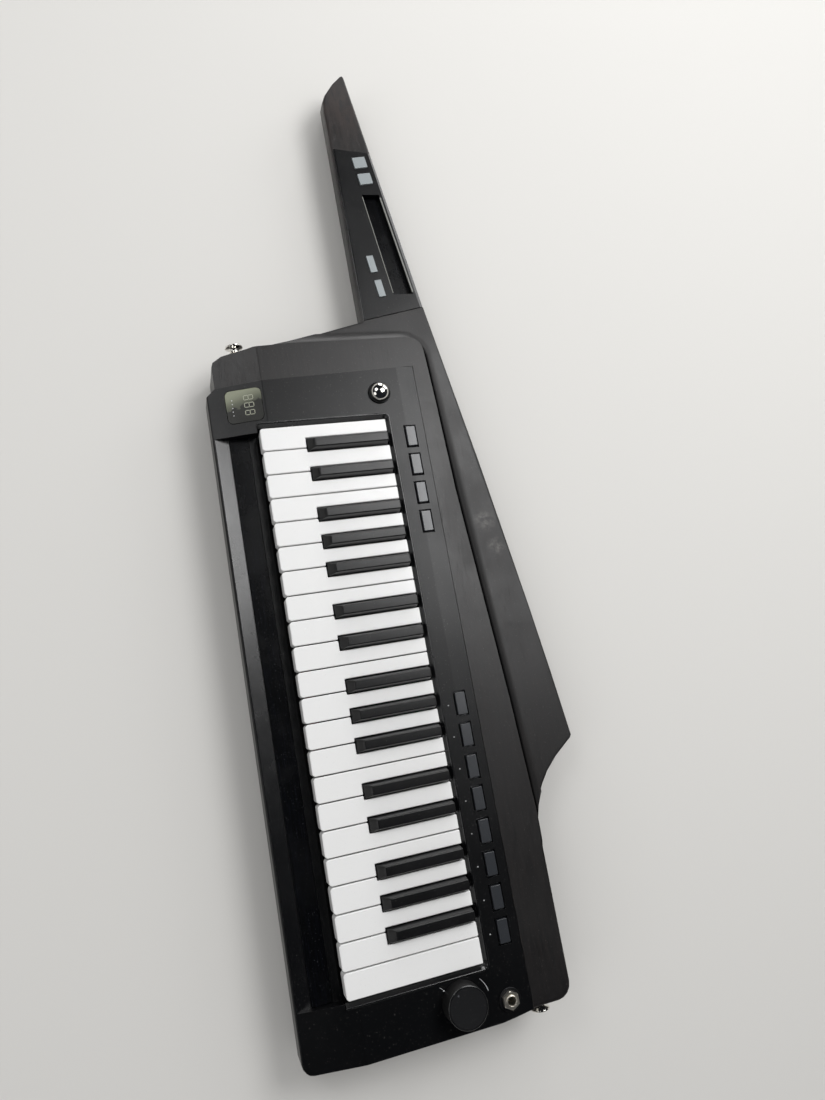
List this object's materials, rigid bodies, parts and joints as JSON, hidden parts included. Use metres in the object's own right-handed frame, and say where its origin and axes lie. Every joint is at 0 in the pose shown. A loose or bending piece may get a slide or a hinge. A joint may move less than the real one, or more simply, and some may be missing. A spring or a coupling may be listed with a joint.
{
  "type": "keytar",
  "caption": "Shoulder-slung electronic keyboard: dark wooden body with a neck and a wing, short piano keyboard, ribbon beside the keys, neck ribbon and buttons, knobs, jack and strap pins.",
  "frame": {"origin": "under the middle of the whole instrument, on its flat back", "axes": "+X along the keyboard from the neck to the tail, +Y from the key fronts to the wing, +Z out of the control surface; the player stands at -Y"},
  "size_m": [0.846, 0.264, 0.07],
  "materials": {
    "painted_wood": "dark brown-black stain under a thin satin lacquer, faint grain, small scuffs",
    "satin_black_plastic": "satin black moulded plastic with a cool grey sheen",
    "textured_black_plastic": "fine textured black moulded plastic",
    "white_key": "polished white moulded plastic",
    "black_key": "satin black moulded plastic with a polished front facet",
    "ribbon_film": "glossy black film",
    "smoked_window": "glossy smoked window",
    "smoked_button": "dark translucent grey plastic",
    "grey_button": "light frosted grey plastic",
    "knob_rubber": "matt black rubber",
    "chrome": "polished chrome",
    "frame_plastic": "dark grey moulded plastic",
    "felt": "dense red felt",
    "board": "green fibreglass board"
  },
  "bodies": {
    "body": {"wood_body": "painted_wood", "control_panel": "satin_black_plastic", "rear_cover": "textured_black_plastic", "battery_box": "frame_plastic", "long_ribbon": "ribbon_film", "display_window": "smoked_window", "mic_jack": "chrome", "neck_panel": "satin_black_plastic", "neck_ribbon": "ribbon_film", "strap_pin_neck_side": "chrome", "strap_pin_tail": "chrome", "key_frame": "frame_plastic", "key_stop_felt": "felt", "key_contact_board": "board", "main_board": "board", "connector_plate": "textured_black_plastic"},
    "battery_door": {"battery_door": "textured_black_plastic"},
    "value_dial": {"value_dial": "chrome"},
    "volume_knob": {"volume_knob": "knob_rubber"},
    "function_keypad": {"function_keypad": "smoked_button"},
    "program_keypad": {"program_keypad": "smoked_button"},
    "neck_square_keypad": {"neck_square_keypad": "grey_button"},
    "neck_long_keypad": {"neck_long_keypad": "grey_button"},
    "key_c1": {"key_c1": "white_key"},
    "key_d1": {"key_d1": "white_key"},
    "key_e1": {"key_e1": "white_key"},
    "key_f1": {"key_f1": "white_key"},
    "key_g1": {"key_g1": "white_key"},
    "key_a1": {"key_a1": "white_key"},
    "key_b1": {"key_b1": "white_key"},
    "key_c2": {"key_c2": "white_key"},
    "key_d2": {"key_d2": "white_key"},
    "key_e2": {"key_e2": "white_key"},
    "key_f2": {"key_f2": "white_key"},
    "key_g2": {"key_g2": "white_key"},
    "key_a2": {"key_a2": "white_key"},
    "key_b2": {"key_b2": "white_key"},
    "key_c3": {"key_c3": "white_key"},
    "key_d3": {"key_d3": "white_key"},
    "key_e3": {"key_e3": "white_key"},
    "key_f3": {"key_f3": "white_key"},
    "key_g3": {"key_g3": "white_key"},
    "key_a3": {"key_a3": "white_key"},
    "key_b3": {"key_b3": "white_key"},
    "key_c4": {"key_c4": "white_key"},
    "key_cs1": {"key_cs1": "black_key"},
    "key_ds1": {"key_ds1": "black_key"},
    "key_fs1": {"key_fs1": "black_key"},
    "key_gs1": {"key_gs1": "black_key"},
    "key_as1": {"key_as1": "black_key"},
    "key_cs2": {"key_cs2": "black_key"},
    "key_ds2": {"key_ds2": "black_key"},
    "key_fs2": {"key_fs2": "black_key"},
    "key_gs2": {"key_gs2": "black_key"},
    "key_as2": {"key_as2": "black_key"},
    "key_cs3": {"key_cs3": "black_key"},
    "key_ds3": {"key_ds3": "black_key"},
    "key_fs3": {"key_fs3": "black_key"},
    "key_gs3": {"key_gs3": "black_key"},
    "key_as3": {"key_as3": "black_key"}
  },
  "joints": [
    {"name": "function_buttons_press", "type": "slide", "parent": "body", "child": "function_keypad", "axis": [0, 0, -1], "range_m": [0, 0.0008], "stiffness_N_per_m": 1200, "springref_m": -0.0006},
    {"name": "program_buttons_press", "type": "slide", "parent": "body", "child": "program_keypad", "axis": [0, 0, -1], "range_m": [0, 0.0008], "stiffness_N_per_m": 1200, "springref_m": -0.0006},
    {"name": "neck_square_buttons_press", "type": "slide", "parent": "body", "child": "neck_square_keypad", "axis": [0, 0, -1], "range_m": [0, 0.0008], "stiffness_N_per_m": 1200, "springref_m": -0.0006},
    {"name": "neck_long_buttons_press", "type": "slide", "parent": "body", "child": "neck_long_keypad", "axis": [0, 0, -1], "range_m": [0, 0.0008], "stiffness_N_per_m": 1200, "springref_m": -0.0006},
    {"name": "battery_door_pull", "type": "slide", "parent": "body", "child": "battery_door", "axis": [0, 0, -1], "range_m": [0, 0.02]},
    {"name": "value_dial_turn", "type": "hinge", "parent": "body", "child": "value_dial", "pos_m": [-0.092, 0.01135, 0.054], "axis": [0, 0, -1], "continuous": true},
    {"name": "volume_knob_turn", "type": "hinge", "parent": "body", "child": "volume_knob", "pos_m": [0.3939, -0.00955, 0.054], "axis": [0, 0, -1], "range_deg": [0, 300]},
    {"name": "key_c1_press", "type": "hinge", "parent": "body", "child": "key_c1", "pos_m": [-0.058, 0.03535, 0.042], "axis": [1, 0, 0], "range_deg": [0, 3], "stiffness_Nm_per_rad": 0.5, "springref_deg": -2.86},
    {"name": "key_d1_press", "type": "hinge", "parent": "body", "child": "key_d1", "pos_m": [-0.038, 0.03535, 0.042], "axis": [1, 0, 0], "range_deg": [0, 3], "stiffness_Nm_per_rad": 0.5, "springref_deg": -2.86},
    {"name": "key_e1_press", "type": "hinge", "parent": "body", "child": "key_e1", "pos_m": [-0.018, 0.03535, 0.042], "axis": [1, 0, 0], "range_deg": [0, 3], "stiffness_Nm_per_rad": 0.5, "springref_deg": -2.86},
    {"name": "key_f1_press", "type": "hinge", "parent": "body", "child": "key_f1", "pos_m": [0.002, 0.03535, 0.042], "axis": [1, 0, 0], "range_deg": [0, 3], "stiffness_Nm_per_rad": 0.5, "springref_deg": -2.86},
    {"name": "key_g1_press", "type": "hinge", "parent": "body", "child": "key_g1", "pos_m": [0.022, 0.03535, 0.042], "axis": [1, 0, 0], "range_deg": [0, 3], "stiffness_Nm_per_rad": 0.5, "springref_deg": -2.86},
    {"name": "key_a1_press", "type": "hinge", "parent": "body", "child": "key_a1", "pos_m": [0.042, 0.03535, 0.042], "axis": [1, 0, 0], "range_deg": [0, 3], "stiffness_Nm_per_rad": 0.5, "springref_deg": -2.86},
    {"name": "key_b1_press", "type": "hinge", "parent": "body", "child": "key_b1", "pos_m": [0.062, 0.03535, 0.042], "axis": [1, 0, 0], "range_deg": [0, 3], "stiffness_Nm_per_rad": 0.5, "springref_deg": -2.86},
    {"name": "key_c2_press", "type": "hinge", "parent": "body", "child": "key_c2", "pos_m": [0.082, 0.03535, 0.042], "axis": [1, 0, 0], "range_deg": [0, 3], "stiffness_Nm_per_rad": 0.5, "springref_deg": -2.86},
    {"name": "key_d2_press", "type": "hinge", "parent": "body", "child": "key_d2", "pos_m": [0.102, 0.03535, 0.042], "axis": [1, 0, 0], "range_deg": [0, 3], "stiffness_Nm_per_rad": 0.5, "springref_deg": -2.86},
    {"name": "key_e2_press", "type": "hinge", "parent": "body", "child": "key_e2", "pos_m": [0.122, 0.03535, 0.042], "axis": [1, 0, 0], "range_deg": [0, 3], "stiffness_Nm_per_rad": 0.5, "springref_deg": -2.86},
    {"name": "key_f2_press", "type": "hinge", "parent": "body", "child": "key_f2", "pos_m": [0.142, 0.03535, 0.042], "axis": [1, 0, 0], "range_deg": [0, 3], "stiffness_Nm_per_rad": 0.5, "springref_deg": -2.86},
    {"name": "key_g2_press", "type": "hinge", "parent": "body", "child": "key_g2", "pos_m": [0.162, 0.03535, 0.042], "axis": [1, 0, 0], "range_deg": [0, 3], "stiffness_Nm_per_rad": 0.5, "springref_deg": -2.86},
    {"name": "key_a2_press", "type": "hinge", "parent": "body", "child": "key_a2", "pos_m": [0.182, 0.03535, 0.042], "axis": [1, 0, 0], "range_deg": [0, 3], "stiffness_Nm_per_rad": 0.5, "springref_deg": -2.86},
    {"name": "key_b2_press", "type": "hinge", "parent": "body", "child": "key_b2", "pos_m": [0.202, 0.03535, 0.042], "axis": [1, 0, 0], "range_deg": [0, 3], "stiffness_Nm_per_rad": 0.5, "springref_deg": -2.86},
    {"name": "key_c3_press", "type": "hinge", "parent": "body", "child": "key_c3", "pos_m": [0.222, 0.03535, 0.042], "axis": [1, 0, 0], "range_deg": [0, 3], "stiffness_Nm_per_rad": 0.5, "springref_deg": -2.86},
    {"name": "key_d3_press", "type": "hinge", "parent": "body", "child": "key_d3", "pos_m": [0.242, 0.03535, 0.042], "axis": [1, 0, 0], "range_deg": [0, 3], "stiffness_Nm_per_rad": 0.5, "springref_deg": -2.86},
    {"name": "key_e3_press", "type": "hinge", "parent": "body", "child": "key_e3", "pos_m": [0.262, 0.03535, 0.042], "axis": [1, 0, 0], "range_deg": [0, 3], "stiffness_Nm_per_rad": 0.5, "springref_deg": -2.86},
    {"name": "key_f3_press", "type": "hinge", "parent": "body", "child": "key_f3", "pos_m": [0.282, 0.03535, 0.042], "axis": [1, 0, 0], "range_deg": [0, 3], "stiffness_Nm_per_rad": 0.5, "springref_deg": -2.86},
    {"name": "key_g3_press", "type": "hinge", "parent": "body", "child": "key_g3", "pos_m": [0.302, 0.03535, 0.042], "axis": [1, 0, 0], "range_deg": [0, 3], "stiffness_Nm_per_rad": 0.5, "springref_deg": -2.86},
    {"name": "key_a3_press", "type": "hinge", "parent": "body", "child": "key_a3", "pos_m": [0.322, 0.03535, 0.042], "axis": [1, 0, 0], "range_deg": [0, 3], "stiffness_Nm_per_rad": 0.5, "springref_deg": -2.86},
    {"name": "key_b3_press", "type": "hinge", "parent": "body", "child": "key_b3", "pos_m": [0.342, 0.03535, 0.042], "axis": [1, 0, 0], "range_deg": [0, 3], "stiffness_Nm_per_rad": 0.5, "springref_deg": -2.86},
    {"name": "key_c4_press", "type": "hinge", "parent": "body", "child": "key_c4", "pos_m": [0.362, 0.03535, 0.042], "axis": [1, 0, 0], "range_deg": [0, 3], "stiffness_Nm_per_rad": 0.5, "springref_deg": -2.86},
    {"name": "key_cs1_press", "type": "hinge", "parent": "body", "child": "key_cs1", "pos_m": [-0.05055, 0.03535, 0.042], "axis": [1, 0, 0], "range_deg": [0, 3], "stiffness_Nm_per_rad": 0.5, "springref_deg": -2.86},
    {"name": "key_ds1_press", "type": "hinge", "parent": "body", "child": "key_ds1", "pos_m": [-0.02545, 0.03535, 0.042], "axis": [1, 0, 0], "range_deg": [0, 3], "stiffness_Nm_per_rad": 0.5, "springref_deg": -2.86},
    {"name": "key_fs1_press", "type": "hinge", "parent": "body", "child": "key_fs1", "pos_m": [0.009, 0.03535, 0.042], "axis": [1, 0, 0], "range_deg": [0, 3], "stiffness_Nm_per_rad": 0.5, "springref_deg": -2.86},
    {"name": "key_gs1_press", "type": "hinge", "parent": "body", "child": "key_gs1", "pos_m": [0.032, 0.03535, 0.042], "axis": [1, 0, 0], "range_deg": [0, 3], "stiffness_Nm_per_rad": 0.5, "springref_deg": -2.86},
    {"name": "key_as1_press", "type": "hinge", "parent": "body", "child": "key_as1", "pos_m": [0.055, 0.03535, 0.042], "axis": [1, 0, 0], "range_deg": [0, 3], "stiffness_Nm_per_rad": 0.5, "springref_deg": -2.86},
    {"name": "key_cs2_press", "type": "hinge", "parent": "body", "child": "key_cs2", "pos_m": [0.08945, 0.03535, 0.042], "axis": [1, 0, 0], "range_deg": [0, 3], "stiffness_Nm_per_rad": 0.5, "springref_deg": -2.86},
    {"name": "key_ds2_press", "type": "hinge", "parent": "body", "child": "key_ds2", "pos_m": [0.11455, 0.03535, 0.042], "axis": [1, 0, 0], "range_deg": [0, 3], "stiffness_Nm_per_rad": 0.5, "springref_deg": -2.86},
    {"name": "key_fs2_press", "type": "hinge", "parent": "body", "child": "key_fs2", "pos_m": [0.149, 0.03535, 0.042], "axis": [1, 0, 0], "range_deg": [0, 3], "stiffness_Nm_per_rad": 0.5, "springref_deg": -2.86},
    {"name": "key_gs2_press", "type": "hinge", "parent": "body", "child": "key_gs2", "pos_m": [0.172, 0.03535, 0.042], "axis": [1, 0, 0], "range_deg": [0, 3], "stiffness_Nm_per_rad": 0.5, "springref_deg": -2.86},
    {"name": "key_as2_press", "type": "hinge", "parent": "body", "child": "key_as2", "pos_m": [0.195, 0.03535, 0.042], "axis": [1, 0, 0], "range_deg": [0, 3], "stiffness_Nm_per_rad": 0.5, "springref_deg": -2.86},
    {"name": "key_cs3_press", "type": "hinge", "parent": "body", "child": "key_cs3", "pos_m": [0.22945, 0.03535, 0.042], "axis": [1, 0, 0], "range_deg": [0, 3], "stiffness_Nm_per_rad": 0.5, "springref_deg": -2.86},
    {"name": "key_ds3_press", "type": "hinge", "parent": "body", "child": "key_ds3", "pos_m": [0.25455, 0.03535, 0.042], "axis": [1, 0, 0], "range_deg": [0, 3], "stiffness_Nm_per_rad": 0.5, "springref_deg": -2.86},
    {"name": "key_fs3_press", "type": "hinge", "parent": "body", "child": "key_fs3", "pos_m": [0.289, 0.03535, 0.042], "axis": [1, 0, 0], "range_deg": [0, 3], "stiffness_Nm_per_rad": 0.5, "springref_deg": -2.86},
    {"name": "key_gs3_press", "type": "hinge", "parent": "body", "child": "key_gs3", "pos_m": [0.312, 0.03535, 0.042], "axis": [1, 0, 0], "range_deg": [0, 3], "stiffness_Nm_per_rad": 0.5, "springref_deg": -2.86},
    {"name": "key_as3_press", "type": "hinge", "parent": "body", "child": "key_as3", "pos_m": [0.335, 0.03535, 0.042], "axis": [1, 0, 0], "range_deg": [0, 3], "stiffness_Nm_per_rad": 0.5, "springref_deg": -2.86}
  ]
}
